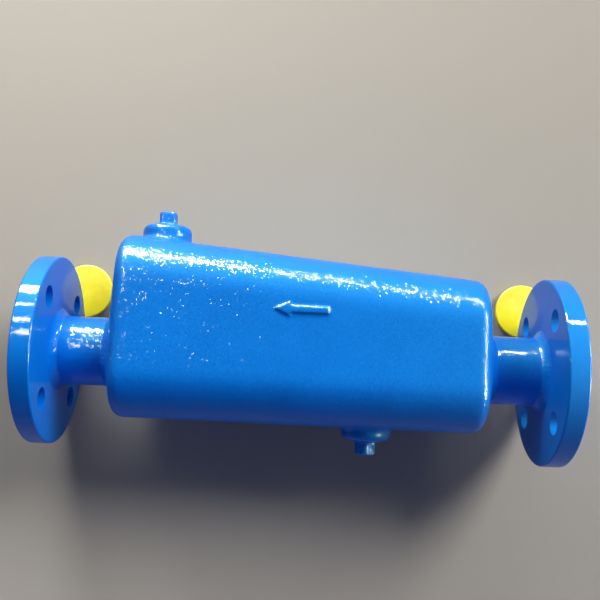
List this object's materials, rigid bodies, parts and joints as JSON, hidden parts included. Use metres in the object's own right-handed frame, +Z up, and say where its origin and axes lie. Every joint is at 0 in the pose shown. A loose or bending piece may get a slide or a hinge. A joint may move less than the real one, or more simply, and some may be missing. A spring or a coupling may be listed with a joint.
{
  "type": "in-line steam separator",
  "caption": "Flanged in-line baffle separator: hollow cast body with a sloping sump, welded pipe stubs and flanges, square-headed vent and drain plugs, and loose port caps.",
  "frame": {"origin": "Centre of the inlet gasket face, on the pipe axis.", "axes": "+X along the pipe with the flow, -Y towards the drain boss, +Y towards the vent boss, +Z up while the part lies on its side on the flange rims."},
  "size_m": [0.4415, 0.1917, 0.15],
  "materials": {
    "blue_enamel": "glossy blue enamel brushed over a rough steel casting",
    "thread_tape": "white sealing tape",
    "bare_steel": "bare mild steel",
    "yellow_plastic": "smooth moulded polyethylene"
  },
  "bodies": {
    "separator": {"body_casting": "blue_enamel", "inlet_end_cap": "blue_enamel", "inlet_neck": "blue_enamel", "outlet_neck": "blue_enamel", "inlet_flange": "blue_enamel", "outlet_flange": "blue_enamel", "inlet_flange_weld": "blue_enamel", "outlet_flange_weld": "blue_enamel", "inlet_body_weld": "blue_enamel", "outlet_body_weld": "blue_enamel", "inlet_baffle": "bare_steel", "middle_baffle": "bare_steel", "outlet_baffle": "bare_steel", "tie_rods": "bare_steel", "baffle_spacers": "bare_steel", "tie_rod_nuts": "bare_steel"},
    "vent_carriage": {"vent_thread_tape": "thread_tape"},
    "vent_screw": {"vent_plug": "blue_enamel"},
    "drain_carriage": {"drain_thread_tape": "thread_tape"},
    "drain_screw": {"drain_plug": "blue_enamel"},
    "inlet_cap": {"inlet_port_cap": "yellow_plastic"},
    "outlet_cap": {"outlet_port_cap": "yellow_plastic"}
  },
  "joints": [
    {"name": "vent_plug_travel", "type": "slide", "parent": "separator", "child": "vent_carriage", "axis": [0, 1, 0], "range_m": [0, 0.01452]},
    {"name": "vent_plug_turn", "type": "hinge", "parent": "vent_carriage", "child": "vent_screw", "pos_m": [0.1565, 0.061, 0], "axis": [0, 1, 0], "range_deg": [0, 2880]},
    {"name": "drain_plug_travel", "type": "slide", "parent": "separator", "child": "drain_carriage", "axis": [0, -1, 0], "range_m": [0, 0.01452]},
    {"name": "drain_plug_turn", "type": "hinge", "parent": "drain_carriage", "child": "drain_screw", "pos_m": [0.325, -0.105, 0], "axis": [0, -1, 0], "range_deg": [0, 2880]},
    {"name": "inlet_cap_slide", "type": "slide", "parent": "separator", "child": "inlet_cap", "axis": [1, 0, 0], "range_m": [0, 0.03]},
    {"name": "outlet_cap_slide", "type": "slide", "parent": "separator", "child": "outlet_cap", "axis": [-1, 0, 0], "range_m": [0, 0.03]}
  ],
  "couplings": [
    {"joint": "vent_plug_travel", "follows": "vent_plug_turn", "m_per_rad": 0.00028871},
    {"joint": "drain_plug_travel", "follows": "drain_plug_turn", "m_per_rad": 0.00028871}
  ]
}
